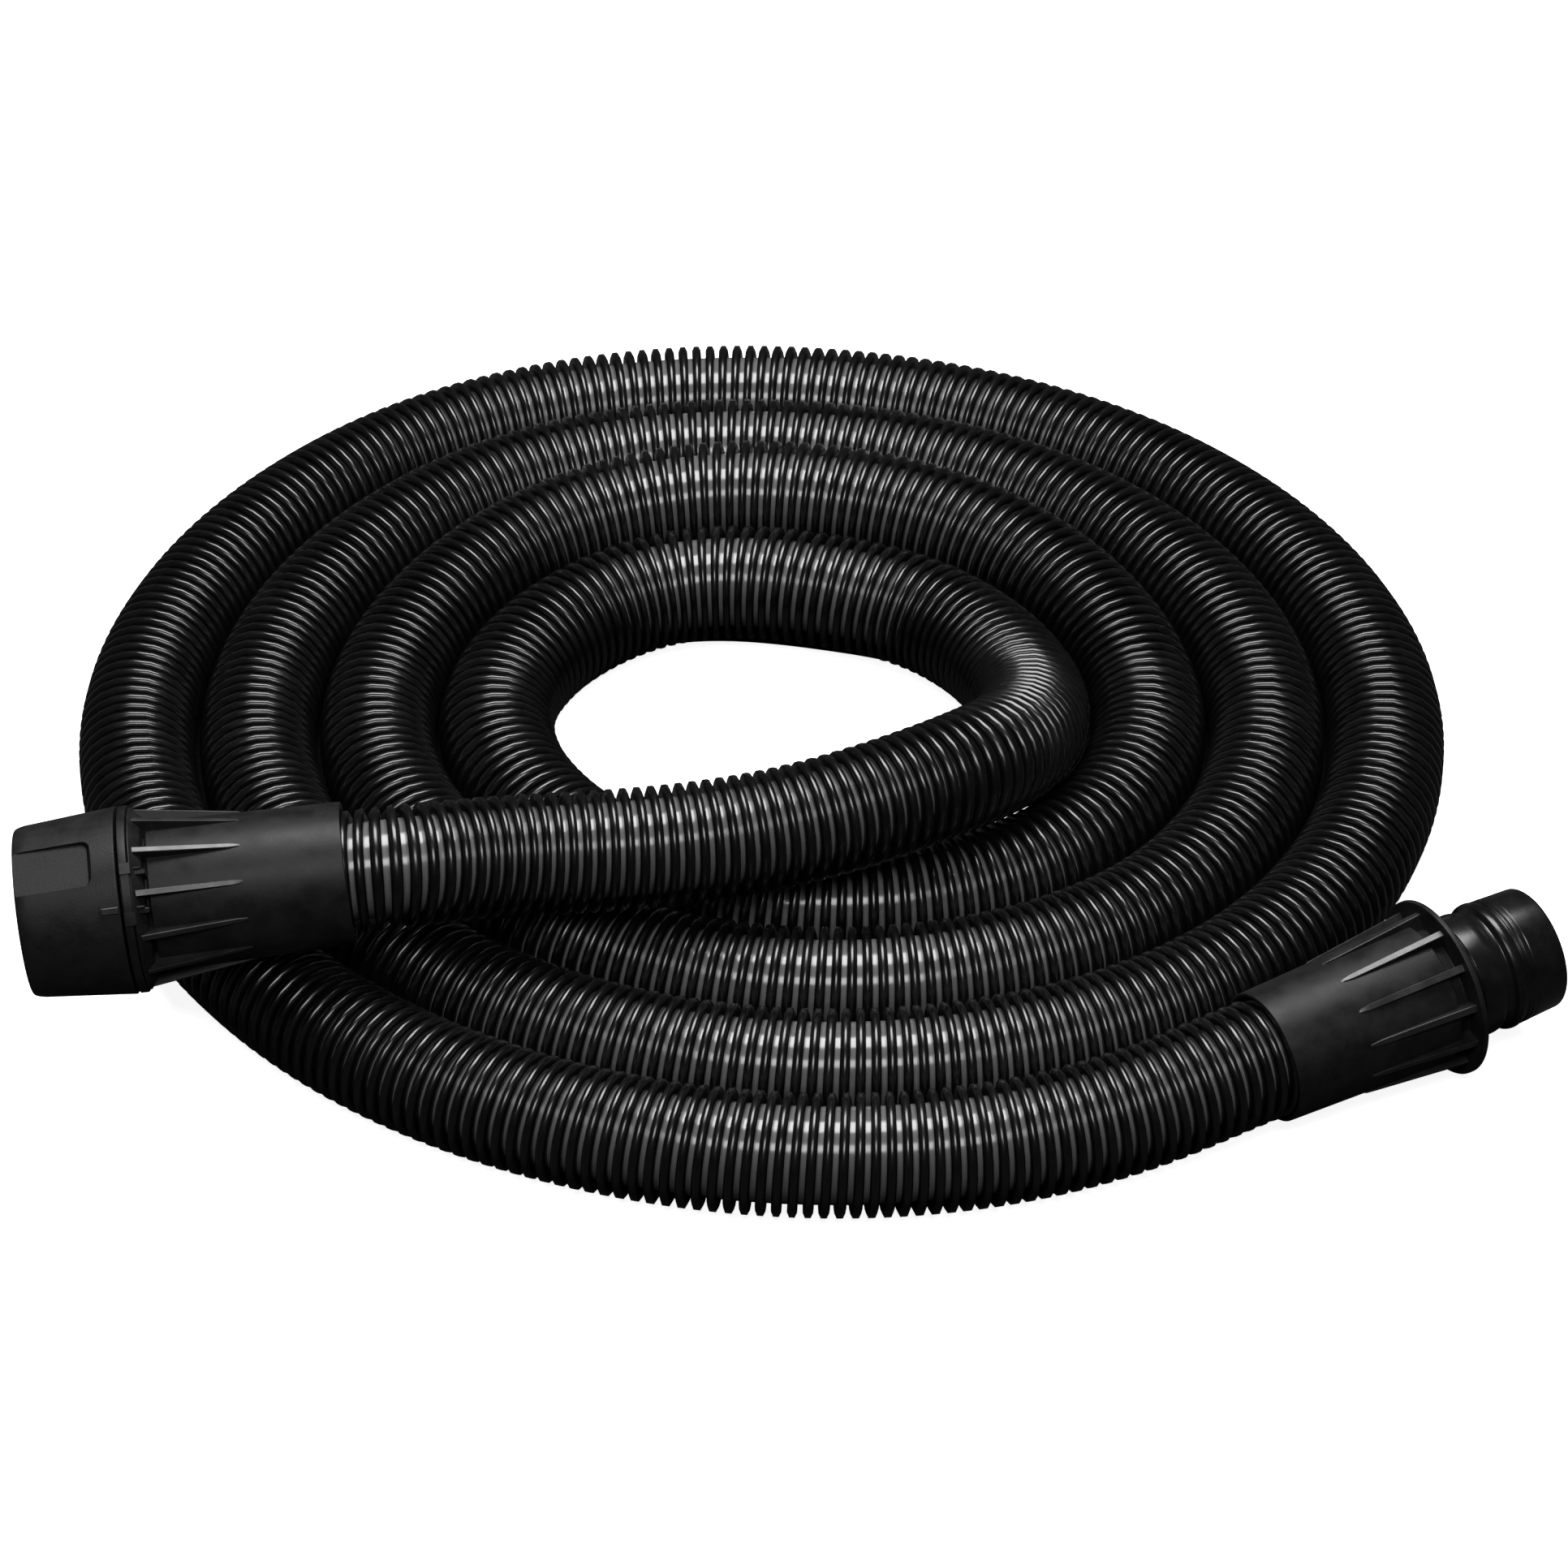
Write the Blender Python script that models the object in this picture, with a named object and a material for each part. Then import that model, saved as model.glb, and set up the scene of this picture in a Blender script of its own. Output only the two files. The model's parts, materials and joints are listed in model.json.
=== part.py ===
"""Extraction hose with a swivel cuff at each end, lying in a loose flat coil.

Metres, +Z up. The origin is on the floor under the middle of the whole hose, +X runs towards the
tool cuff and +Y away from the front of the coil. Each end piece is drawn about its own axis: local
+Z points out of that end's mouth, and local zero is the joint between the fixed cuff and what
swivels in it.
"""

import math

import bmesh
import bpy
import numpy as np
from mathutils import Matrix, Vector

MM = 0.001

# Hose
HOSE_OD = 0.041  # over the rib crests
HOSE_SOLID_OD = 0.0400  # the plain solid stands just inside the crests, so touching turns keep a gap
HOSE_INSERTION = 0.036  # length of hose inside each cuff
HOSE_BEVEL_RESOLUTION = 4  # twelve sides
NODE_GAP = 0.0004
MEETING_LENGTH = 0.006  # straight run on each side of the place where two solids meet

# Coil: the turns start at the front and run clockwise, seen from above, one inside the other
COIL_CENTRE = Vector((0.01127, 0.03129, 0.0))
EIGHTHS = 8
LAST_EIGHTH = 29  # where the hose leaves the coil, and the lead's solid takes over from the coil's
FIRST_TURN_RADII = (0.2430, 0.2440, 0.2400, 0.2105, 0.1805, 0.1800, 0.1960, 0.2045)
TURN_STEPS = (0.0420, 0.0418, 0.0422, 0.0434, 0.0423, 0.0416, 0.0417, 0.0420)
BACK_LIFTS = (0.0, 0.005, 0.016, 0.007)  # the later turns ride up at the back
STATIONS_PER_TURN = 20
STATION_LENGTH = 0.027  # between stations where the hose isn't coiled
SPLINE_STEP = 0.003

# Stretches that aren't coiled, from the coil's centre
TOOL_STRETCH = ((0.1060, -0.2215, 0.0243), (0.0560, -0.2375, 0.0211))
CROSSING = (
    (0.0709, -0.0119, 0.0300),
    (0.0680, -0.0527, 0.0435),
    (0.0505, -0.0861, 0.0575),
    (0.0200, -0.1105, 0.0626),
    (-0.0150, -0.1260, 0.0626),
    (-0.0600, -0.1370, 0.0630),
    (-0.1080, -0.1470, 0.0670),
)

# Tool end
TOOL_JOINT = Vector((0.2025, -0.1700, 0.03053))
TOOL_HEADING, TOOL_PITCH = math.radians(29), math.radians(2.3)
TOOL_CUFF_LENGTH = 0.068
TOOL_RIM_R, TOOL_SHOULDER_R, TOOL_FLANGE_R = 0.0224, 0.0244, 0.0305
TOOL_FIN_R, TOOL_FIN_TIP_R, TOOL_FIN_LENGTH = 0.0273, 0.0233, 0.038
TOOL_FIN_THICKNESS, TOOL_FIN_TURN = 0.0025, math.radians(8)
SPIGOT_R, SPIGOT_BEAD_R, SPIGOT_MOUTH_R = 0.0212, 0.0222, 0.0211
SPIGOT_BORE_R, SPIGOT_LENGTH = 0.0174, 0.0380
SPIGOT_BARREL_R, SPIGOT_BARREL_BORE_R = 0.0180, 0.0158

# Vacuum end
VAC_JOINT = Vector((-0.2295, -0.1655, 0.0640))
VAC_HEADING, VAC_PITCH = math.radians(185), math.radians(-5)
VAC_CUFF_LENGTH = 0.0725
VAC_RIM_R, VAC_SHOULDER_R, VAC_FLANGE_R = 0.0236, 0.0248, 0.0308
VAC_FIN_R, VAC_FIN_TIP_R, VAC_FIN_LENGTH = 0.0291, 0.0242, 0.036
VAC_FIN_THICKNESS, VAC_FIN_TURN = 0.0020, math.radians(12.5)
COLLAR_R, COLLAR_MOUTH_R, COLLAR_LENGTH = 0.0311, 0.0283, 0.0350
COLLAR_BORE_R, COLLAR_MOUTH_BORE_R = 0.0250, 0.0256
COLLAR_BARREL_R, COLLAR_BARREL_BORE_R = 0.0204, 0.0178
GRIP_INNER_R, GRIP_MOUTH_R, GRIP_START, GRIP_WIDTH = 0.0279, 0.0266, 0.0088, 0.0152
GRIP_TURNS = (math.radians(66.5), math.radians(246.5))

# Both cuffs
FIN_COUNT = 12
FIN_TIP_RISE = 0.0004  # how far a fin's far end stands off the sleeve
CUFF_RIM_BORE_R = 0.0212
NECK_DEPTH = 0.0022  # the neck's, below the sleeve's shoulder
INSERT_R, INSERT_BORE_R = 0.0216, 0.0206
RUNNING_GAP = 0.0003
SEGMENTS = 36
SEAL_SEGMENTS = 30

BLACK, DARK, RUBBER = (0.018, 0.018, 0.019), (0.012, 0.012, 0.013), (0.02, 0.02, 0.02)


def clear_scene():
    for thing in list(bpy.data.objects):
        bpy.data.objects.remove(thing, do_unlink=True)


def plastic(name, colour, roughness):
    material = bpy.data.materials.new(name)
    material.use_nodes = True
    shader = material.node_tree.nodes["Principled BSDF"]
    shader.inputs["Base Color"].default_value = (*colour, 1)
    shader.inputs["Roughness"].default_value = roughness
    shader.inputs["Metallic"].default_value = 0
    return material


def frame_empty(name, position, heading, pitch):
    """An empty on an end's axis: its +Z points out of the mouth, and its +X lies level."""
    level_run = math.cos(pitch)
    mouth = Vector((level_run * math.cos(heading), level_run * math.sin(heading), math.sin(pitch)))
    level = Vector((0, 0, 1)).cross(mouth).normalized()
    across = mouth.cross(level)
    turn = Matrix((level, across, mouth)).transposed().to_4x4()
    empty = bpy.data.objects.new(name, None)
    bpy.context.collection.objects.link(empty)
    empty.matrix_world = Matrix.Translation(position + COIL_CENTRE) @ turn
    return empty


def add_object(name, mesh, material, parent):
    thing = bpy.data.objects.new(name, mesh)
    bpy.context.collection.objects.link(thing)
    mesh.materials.append(material)
    mesh.shade_smooth()
    mesh.set_sharp_from_angle(angle=math.radians(30))
    thing.parent = parent
    return thing


def turned_mesh(name, profile, segments=SEGMENTS):
    """A closed (radius, height) outline, counter-clockwise with radius to the right, turned about Z."""
    form = bmesh.new()
    rings = []
    for step in range(segments):
        angle = 2 * math.pi * step / segments
        rings.append([form.verts.new((r * math.cos(angle), r * math.sin(angle), z)) for r, z in profile])
    for step in range(segments):
        here, there = rings[step], rings[(step + 1) % segments]
        for i in range(len(profile)):
            j = (i + 1) % len(profile)
            form.faces.new((here[i], there[i], there[j], here[j]))
    mesh = bpy.data.meshes.new(name)
    form.to_mesh(mesh)
    form.free()
    return mesh


def turned(name, profile, material, parent, segments=SEGMENTS):
    return add_object(name, turned_mesh(name, profile, segments), material, parent)


def box_mesh(name, low, high):
    form = bmesh.new()
    bmesh.ops.create_cube(form, size=1)
    middle = [(a + b) / 2 for a, b in zip(low, high)]
    size = [b - a for a, b in zip(low, high)]
    bmesh.ops.transform(
        form, matrix=Matrix.Translation(middle) @ Matrix.Diagonal((*size, 1)), verts=form.verts
    )
    mesh = bpy.data.meshes.new(name)
    form.to_mesh(mesh)
    form.free()
    return mesh


def boolean(target, tool_mesh, operation, parent, turn=0.0):
    """Joins or cuts a target with a helper that is turned about the end's axis."""
    helper = bpy.data.objects.new(target.name + "_" + operation.lower(), tool_mesh)
    bpy.context.collection.objects.link(helper)
    helper.parent = parent
    helper.rotation_euler = (0, 0, turn)
    helper.hide_render = True
    helper.display_type = "WIRE"
    modifier = target.modifiers.new(operation.title(), "BOOLEAN")
    modifier.operation = operation
    modifier.solver = "EXACT"
    modifier.object = helper
    return helper


def slab_mesh(name, outline, thickness):
    """A flat slab of a (radius, height) outline, with its middle plane through the end's axis."""
    form = bmesh.new()
    sides = [[form.verts.new((x, y, z)) for x, z in outline] for y in (-thickness / 2, thickness / 2)]
    form.faces.new(sides[0])
    form.faces.new(reversed(sides[1]))
    for i in range(len(outline)):
        j = (i + 1) % len(outline)
        form.faces.new((sides[0][j], sides[0][i], sides[1][i], sides[1][j]))
    bmesh.ops.recalc_face_normals(form, faces=form.faces)
    mesh = bpy.data.meshes.new(name)
    form.to_mesh(mesh)
    form.free()
    return mesh


def add_fins(cuff, parent, foot, root_r, tip_r, outer_r, length, thickness, turn):
    """Joins the grip fins to a cuff: long wedges, full height at the flange, running out flush with the
    sleeve at their far ends. The first stands at the given turn from the level direction."""
    far = foot - length
    outline = ((root_r, foot), (outer_r, foot), (tip_r + FIN_TIP_RISE, far), (root_r, far))
    mesh = slab_mesh(cuff.name + "_fin", outline, thickness)
    for count in range(FIN_COUNT):
        boolean(cuff, mesh, "UNION", parent, turn + 2 * math.pi * count / FIN_COUNT)


def natural_spline(points, step):
    """Points every step along the natural cubic curve through the given points, and each given point's row."""
    knots = np.array([tuple(point) for point in points], float)
    runs = np.linalg.norm(np.diff(knots, axis=0), axis=1)
    count = len(knots)
    system = np.eye(count)
    right = np.zeros((count, 3))
    slopes = np.diff(knots, axis=0) / runs[:, None]
    for i in range(1, count - 1):
        system[i, i - 1 : i + 2] = (runs[i - 1], 2 * (runs[i - 1] + runs[i]), runs[i])
        right[i] = 6 * (slopes[i] - slopes[i - 1])
    bends = np.linalg.solve(system, right)
    curve = []
    knot_rows = []
    for i, run in enumerate(runs):
        knot_rows.append(len(curve))
        pieces = max(2, math.ceil(run / step))
        for piece in range(pieces):
            b = piece / pieces
            a = 1 - b
            sag = ((a**3 - a) * bends[i] + (b**3 - b) * bends[i + 1]) * run**2 / 6
            curve.append(a * knots[i] + b * knots[i + 1] + sag)
    knot_rows.append(len(curve))
    curve.append(knots[-1])
    return np.array(curve), knot_rows


def coil_point(eighth):
    """The hose's middle at an eighth of a turn, counted from the front of the first turn."""
    turn, part = divmod(eighth, EIGHTHS)
    angle = 2 * math.pi * eighth / EIGHTHS
    radius = FIRST_TURN_RADII[part] - turn * TURN_STEPS[part]
    lift = BACK_LIFTS[turn] * max(0.0, -math.cos(angle))
    return Vector((-radius * math.sin(angle), -radius * math.cos(angle), HOSE_OD / 2 + lift))


def on_axis(empty, height):
    return empty.matrix_world @ Vector((0, 0, height))


def hose_route(tool, vac):
    """The whole centre line, from inside the tool cuff to inside the vacuum cuff, and the coil's rows in it."""
    depths = (HOSE_INSERTION, HOSE_INSERTION / 2, 0.0, -HOSE_INSERTION / 3)
    tool_end = [on_axis(tool, depth - TOOL_CUFF_LENGTH) for depth in depths]
    vac_end = [on_axis(vac, depth - VAC_CUFF_LENGTH) for depth in reversed(depths)]
    tool_run = [Vector(point) + COIL_CENTRE for point in TOOL_STRETCH]
    turns = [coil_point(eighth) + COIL_CENTRE for eighth in range(LAST_EIGHTH + 1)]
    crossing = [Vector(point) + COIL_CENTRE for point in CROSSING]
    curve, rows = natural_spline(tool_end + tool_run + turns + crossing + vac_end, SPLINE_STEP)
    curve[:, 2] = np.maximum(curve[:, 2], HOSE_OD / 2)
    first = len(tool_end + tool_run)
    return curve, rows[first], rows[first + LAST_EIGHTH]


def cumulative_length(points):
    return np.concatenate(([0.0], np.cumsum(np.linalg.norm(np.diff(points, axis=0), axis=1))))


def along(route, lengths, places):
    return np.stack([np.interp(places, lengths, route[:, axis]) for axis in range(3)], axis=1)


def stations(route, lengths, coil_start, coil_end):
    """How far along the solid's stations are: at even angles in the coil, at even lengths outside it."""
    wound = route[coil_start : coil_end + 1] - np.array(COIL_CENTRE)
    angle = np.unwrap(np.arctan2(-wound[:, 0], -wound[:, 1]))
    count = round((angle[-1] - angle[0]) / (2 * math.pi) * STATIONS_PER_TURN)
    coil = np.interp(np.linspace(angle[0], angle[-1], count + 1), angle, lengths[coil_start : coil_end + 1])
    before = np.linspace(0, coil[0], math.ceil(coil[0] / STATION_LENGTH) + 1)
    rest = lengths[-1] - coil[-1]
    after = np.linspace(coil[-1], lengths[-1], math.ceil(rest / STATION_LENGTH) + 1)
    return np.concatenate((before[:-1], coil)), after[1:]


def hose_tube(name, points, material):
    """A plain round tube along a few points, with closed ends."""
    curve = bpy.data.curves.new(name, "CURVE")
    curve.dimensions = "3D"
    curve.twist_mode = "Z_UP"
    curve.bevel_depth = HOSE_SOLID_OD / 2
    curve.bevel_resolution = HOSE_BEVEL_RESOLUTION
    curve.use_fill_caps = True
    run = curve.splines.new("POLY")
    run.points.add(len(points) - 1)
    for point, place in zip(run.points, points):
        point.co = (*place, 1)
    curve.materials.append(material)
    thing = bpy.data.objects.new(name, curve)
    bpy.context.collection.objects.link(thing)
    return thing


def build_hose(tool, vac):
    """Two tubes, which meet squarely where the hose leaves the coil."""
    material = plastic("hose", BLACK, 0.3)
    route, coil_start, coil_end = hose_route(tool, vac)
    lengths = cumulative_length(route)
    coil, lead = stations(route, lengths, coil_start, coil_end)
    start, ahead = along(route, lengths, np.array((coil[-1], coil[-1] + MEETING_LENGTH)))
    onward = (ahead - start) / np.linalg.norm(ahead - start)
    coil_points = [*along(route, lengths, coil[:-1]), start - onward * MEETING_LENGTH, start]
    lead_points = [start + onward * NODE_GAP, ahead, *along(route, lengths, lead)]
    hose_tube("hose_coil", coil_points, material)
    hose_tube("hose_lead", lead_points, material)


def cuff_profile(length, rim_r, shoulder_r, shoulder_z, flange, barrel_r):
    """The turned body of a cuff: a sleeve over the hose, a neck and the given flange's outline, from the
    neck out to its face. The insert sits in the sleeve's middle."""
    insert_top = -length + HOSE_INSERTION + 2.3 * MM
    insert_bottom = -length + 15 * MM
    return (
        (CUFF_RIM_BORE_R, -length),
        (rim_r - 0.4 * MM, -length),
        (rim_r, -length + 0.6 * MM),
        (shoulder_r, shoulder_z),
        (shoulder_r - NECK_DEPTH, shoulder_z + 0.3 * MM),
        *flange,
        (barrel_r + RUNNING_GAP, flange[-1][1]),
        (barrel_r + RUNNING_GAP, insert_top + 2 * MM),
        (INSERT_R + RUNNING_GAP, insert_top + 2 * MM),
        (INSERT_R + RUNNING_GAP, insert_bottom),
        (CUFF_RIM_BORE_R, insert_bottom),
    )


def insert_profile(length, bore_r):
    """The threaded bush that the hose end screws into, with an inward lip as its stop."""
    bottom = -length + 15.4 * MM
    stop = -length + HOSE_INSERTION + 0.4 * MM
    top = -length + HOSE_INSERTION + 2.0 * MM
    return (
        (INSERT_BORE_R, bottom),
        (INSERT_R, bottom),
        (INSERT_R, top),
        (bore_r, top),
        (bore_r, stop),
        (INSERT_BORE_R, stop),
    )


def ring_profile(inner, outer, low, high, chamfer):
    return (
        (inner + chamfer, low),
        (outer - chamfer, low),
        (outer, low + chamfer),
        (outer, high - chamfer),
        (outer - chamfer, high),
        (inner + chamfer, high),
        (inner, high - chamfer),
        (inner, low + chamfer),
    )


def seal_profile(inner, outer, low, high):
    """A rubber ring's section: six-sided, widest at its middle height."""
    middle = (low + high) / 2
    chamfer = (outer - inner) / 4
    return (
        (inner + chamfer, low),
        (outer - chamfer, low),
        (outer, middle),
        (outer - chamfer, high),
        (inner + chamfer, high),
        (inner, middle),
    )


def build_tool_end(end):
    cuff_plastic = plastic("tool_cuff", BLACK, 0.45)
    spigot_plastic = plastic("tool_spigot", DARK, 0.25)
    rubber = plastic("tool_seal", RUBBER, 0.7)
    flange_back, edge = -1.8 * MM, 0.4 * MM
    flange = (
        (TOOL_SHOULDER_R - NECK_DEPTH, flange_back),
        (TOOL_FLANGE_R - edge, flange_back),
        (TOOL_FLANGE_R, flange_back + edge),
        (TOOL_FLANGE_R, -edge),
        (TOOL_FLANGE_R - edge, 0.0),
    )
    shoulder_z = flange_back - 4 * MM
    cuff = turned(
        "tool_cuff",
        cuff_profile(TOOL_CUFF_LENGTH, TOOL_RIM_R, TOOL_SHOULDER_R, shoulder_z, flange, SPIGOT_BARREL_R),
        cuff_plastic,
        end,
    )
    fin_foot = -1.4 * MM
    add_fins(
        cuff,
        end,
        fin_foot,
        TOOL_SHOULDER_R - 2.6 * MM,
        TOOL_FIN_TIP_R,
        TOOL_FIN_R,
        TOOL_FIN_LENGTH,
        TOOL_FIN_THICKNESS,
        TOOL_FIN_TURN,
    )
    turned("tool_insert", insert_profile(TOOL_CUFF_LENGTH, 0.0162), cuff_plastic, end)
    groove_r = SPIGOT_BARREL_R - 1.2 * MM
    seal_low, seal_high = -22.5 * MM, -19.7 * MM
    clip_low, clip_high = -12.6 * MM, -10.6 * MM
    barrel_end = -27.5 * MM
    face = 0.4 * MM
    turned(
        "tool_spigot",
        (
            (SPIGOT_BARREL_BORE_R, barrel_end),
            (SPIGOT_BARREL_R - 0.6 * MM, barrel_end),
            (SPIGOT_BARREL_R, barrel_end + 0.6 * MM),
            (SPIGOT_BARREL_R, seal_low),
            (groove_r, seal_low),
            (groove_r, seal_high),
            (SPIGOT_BARREL_R, seal_high),
            (SPIGOT_BARREL_R, clip_low),
            (groove_r, clip_low),
            (groove_r, clip_high),
            (SPIGOT_BARREL_R, clip_high),
            (SPIGOT_BARREL_R, face),
            (SPIGOT_R - 0.7 * MM, face),
            (SPIGOT_R - 0.7 * MM, 3.2 * MM),
            (SPIGOT_R, 3.6 * MM),
            (SPIGOT_R, 13.2 * MM),
            (SPIGOT_R - 1.2 * MM, 15.4 * MM),
            (SPIGOT_R - 1.2 * MM, 17.4 * MM),
            (SPIGOT_BEAD_R, 18.8 * MM),
            (SPIGOT_BEAD_R, 21.2 * MM),
            (SPIGOT_BEAD_R - 0.7 * MM, 22.2 * MM),
            (SPIGOT_BEAD_R - 0.7 * MM, 24.4 * MM),
            (SPIGOT_BEAD_R - 0.3 * MM, 25.0 * MM),
            (SPIGOT_MOUTH_R, SPIGOT_LENGTH - 1.0 * MM),
            (SPIGOT_MOUTH_R - 0.9 * MM, SPIGOT_LENGTH),
            (SPIGOT_BORE_R, SPIGOT_LENGTH),
            (SPIGOT_BORE_R, 4.0 * MM),
            (SPIGOT_BARREL_BORE_R, 1.0 * MM),
        ),
        spigot_plastic,
        end,
    )
    seal_outer = SPIGOT_BARREL_R + 0.1 * MM
    seal_gap = 0.2 * MM
    turned(
        "tool_o_ring",
        seal_profile(groove_r + 0.1 * MM, seal_outer, seal_low + seal_gap, seal_high - seal_gap),
        rubber,
        end,
        SEAL_SEGMENTS,
    )
    clip_r = SPIGOT_BARREL_R + 1.3 * MM
    build_clip("tool_retaining_clip", groove_r + 0.1 * MM, clip_r, clip_low, clip_high, cuff, end)


def build_clip(name, inner, outer, low, high, cuff, end):
    """A split spring ring: its outer edge sits in a groove of the cuff, its inner edge in one of the barrel."""
    steel = plastic(name, DARK, 0.4)
    gap = 0.3 * MM
    clip = turned(name, ring_profile(inner, outer, low + gap, high - gap, 0.15 * MM), steel, end)
    split = box_mesh(name + "_split", (inner - MM, -2.5 * MM, low - MM), (outer + MM, 2.5 * MM, high + MM))
    boolean(clip, split, "DIFFERENCE", end, math.radians(75))
    seat_profile = ring_profile(inner, outer + gap, low, high, 0.05 * MM)
    boolean(cuff, turned_mesh(name + "_seat", seat_profile), "DIFFERENCE", end)


def build_vac_end(end):
    cuff_plastic = plastic("vac_cuff", BLACK, 0.45)
    collar_plastic = plastic("vac_collar", BLACK, 0.5)
    rubber = plastic("vac_seal", RUBBER, 0.7)
    flange_z = -3.1 * MM
    cone_back = flange_z - 4.2 * MM
    flange = (
        (VAC_SHOULDER_R - NECK_DEPTH, cone_back),
        (VAC_FLANGE_R - 4.4 * MM, cone_back + 0.2 * MM),
        (VAC_FLANGE_R - 0.6 * MM, flange_z - 0.5 * MM),
        (VAC_FLANGE_R - 0.9 * MM, flange_z),
    )
    shoulder_z = flange_z - 5.6 * MM
    cuff = turned(
        "vac_cuff",
        cuff_profile(VAC_CUFF_LENGTH, VAC_RIM_R, VAC_SHOULDER_R, shoulder_z, flange, COLLAR_BARREL_R),
        cuff_plastic,
        end,
    )
    fin_foot = flange_z - 1.4 * MM
    add_fins(
        cuff,
        end,
        fin_foot,
        VAC_SHOULDER_R - 3 * MM,
        VAC_FIN_TIP_R,
        VAC_FIN_R,
        VAC_FIN_LENGTH,
        VAC_FIN_THICKNESS,
        VAC_FIN_TURN,
    )
    turned("vac_insert", insert_profile(VAC_CUFF_LENGTH, 0.0170), cuff_plastic, end)
    groove_r = COLLAR_BARREL_R - 1.2 * MM
    ring_low, ring_high = -2.8 * MM, -0.2 * MM
    seal_low, seal_high = -22.5 * MM, -19.7 * MM
    shell_back = 0.8 * MM
    web = 4.5 * MM
    collar = turned(
        "vac_collar",
        (
            (COLLAR_BARREL_BORE_R, -29 * MM),
            (COLLAR_BARREL_R - 0.6 * MM, -29 * MM),
            (COLLAR_BARREL_R, -28.4 * MM),
            (COLLAR_BARREL_R, seal_low),
            (groove_r, seal_low),
            (groove_r, seal_high),
            (COLLAR_BARREL_R, seal_high),
            (COLLAR_BARREL_R, ring_low - RUNNING_GAP),
            (groove_r, ring_low - RUNNING_GAP),
            (groove_r, ring_high + RUNNING_GAP),
            (COLLAR_BARREL_R, ring_high + RUNNING_GAP),
            (COLLAR_BARREL_R, shell_back),
            (COLLAR_R - 0.5 * MM, shell_back),
            (COLLAR_R, shell_back + 0.5 * MM),
            (COLLAR_MOUTH_R, COLLAR_LENGTH - 3.0 * MM),
            (COLLAR_MOUTH_R - 0.8 * MM, COLLAR_LENGTH - 0.9 * MM),
            (COLLAR_MOUTH_R - 2.0 * MM, COLLAR_LENGTH),
            (COLLAR_MOUTH_BORE_R, COLLAR_LENGTH),
            (COLLAR_BORE_R, 15 * MM),
            (COLLAR_BORE_R, web),
            (COLLAR_BARREL_BORE_R, web - 1.5 * MM),
        ),
        collar_plastic,
        end,
    )
    seal_outer = COLLAR_BARREL_R + 0.1 * MM
    seal_gap = 0.2 * MM
    clear_r, past_mouth = 40 * MM, COLLAR_LENGTH + 5 * MM
    flat = slab_mesh(
        "grip_flat",
        ((GRIP_INNER_R, GRIP_START), (clear_r, GRIP_START), (clear_r, past_mouth), (GRIP_MOUTH_R, past_mouth)),
        GRIP_WIDTH,
    )
    for turn in GRIP_TURNS:
        boolean(collar, flat, "DIFFERENCE", end, turn)
    turned(
        "vac_o_ring",
        seal_profile(groove_r + 0.1 * MM, seal_outer, seal_low + seal_gap, seal_high - seal_gap),
        rubber,
        end,
        SEAL_SEGMENTS,
    )
    turned(
        "vac_lip_seal",
        seal_profile(COLLAR_BORE_R - 3.4 * MM, COLLAR_BORE_R - 0.3 * MM, web + 0.4 * MM, web + 4.4 * MM),
        rubber,
        end,
        SEAL_SEGMENTS,
    )
    ring = turned(
        "vac_swivel_ring",
        ring_profile(groove_r + RUNNING_GAP, VAC_FLANGE_R, ring_low, ring_high, 0.3 * MM),
        collar_plastic,
        end,
    )
    half_split = 0.8 * MM
    split = box_mesh(
        "ring_split", (groove_r - MM, -half_split, ring_low - MM), (VAC_FLANGE_R + MM, half_split, ring_high + MM)
    )
    boolean(ring, split, "DIFFERENCE", end, math.radians(215))


def main():
    clear_scene()
    tool = frame_empty("tool_axis", TOOL_JOINT, TOOL_HEADING, TOOL_PITCH)
    vac = frame_empty("vac_axis", VAC_JOINT, VAC_HEADING, VAC_PITCH)
    build_hose(tool, vac)
    build_tool_end(tool)
    build_vac_end(vac)


main()
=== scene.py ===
"""Looks of the coiled extraction hose: ribbed hose, finned cuffs, swivelling collar and spigot."""

import json
import math

import bmesh
import bpy
import numpy as np
from mathutils import Matrix, Vector

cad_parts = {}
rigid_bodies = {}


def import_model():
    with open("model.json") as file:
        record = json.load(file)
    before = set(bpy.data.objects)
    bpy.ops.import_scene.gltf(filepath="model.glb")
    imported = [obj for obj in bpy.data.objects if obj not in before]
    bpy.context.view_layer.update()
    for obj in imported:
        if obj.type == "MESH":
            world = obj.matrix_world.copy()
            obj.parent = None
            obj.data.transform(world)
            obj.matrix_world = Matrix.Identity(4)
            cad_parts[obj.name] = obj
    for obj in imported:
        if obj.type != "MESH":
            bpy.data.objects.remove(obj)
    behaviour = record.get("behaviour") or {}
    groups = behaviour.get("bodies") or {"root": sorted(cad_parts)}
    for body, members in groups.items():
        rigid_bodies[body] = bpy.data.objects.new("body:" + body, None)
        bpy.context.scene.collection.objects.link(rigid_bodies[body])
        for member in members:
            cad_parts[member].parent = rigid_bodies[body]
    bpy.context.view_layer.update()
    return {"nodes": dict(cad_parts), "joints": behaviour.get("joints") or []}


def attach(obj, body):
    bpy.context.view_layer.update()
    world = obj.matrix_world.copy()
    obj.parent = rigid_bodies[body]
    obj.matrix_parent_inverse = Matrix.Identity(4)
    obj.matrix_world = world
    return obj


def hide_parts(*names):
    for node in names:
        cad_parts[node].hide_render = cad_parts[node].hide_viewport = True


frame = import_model()

MM = 0.001

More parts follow.
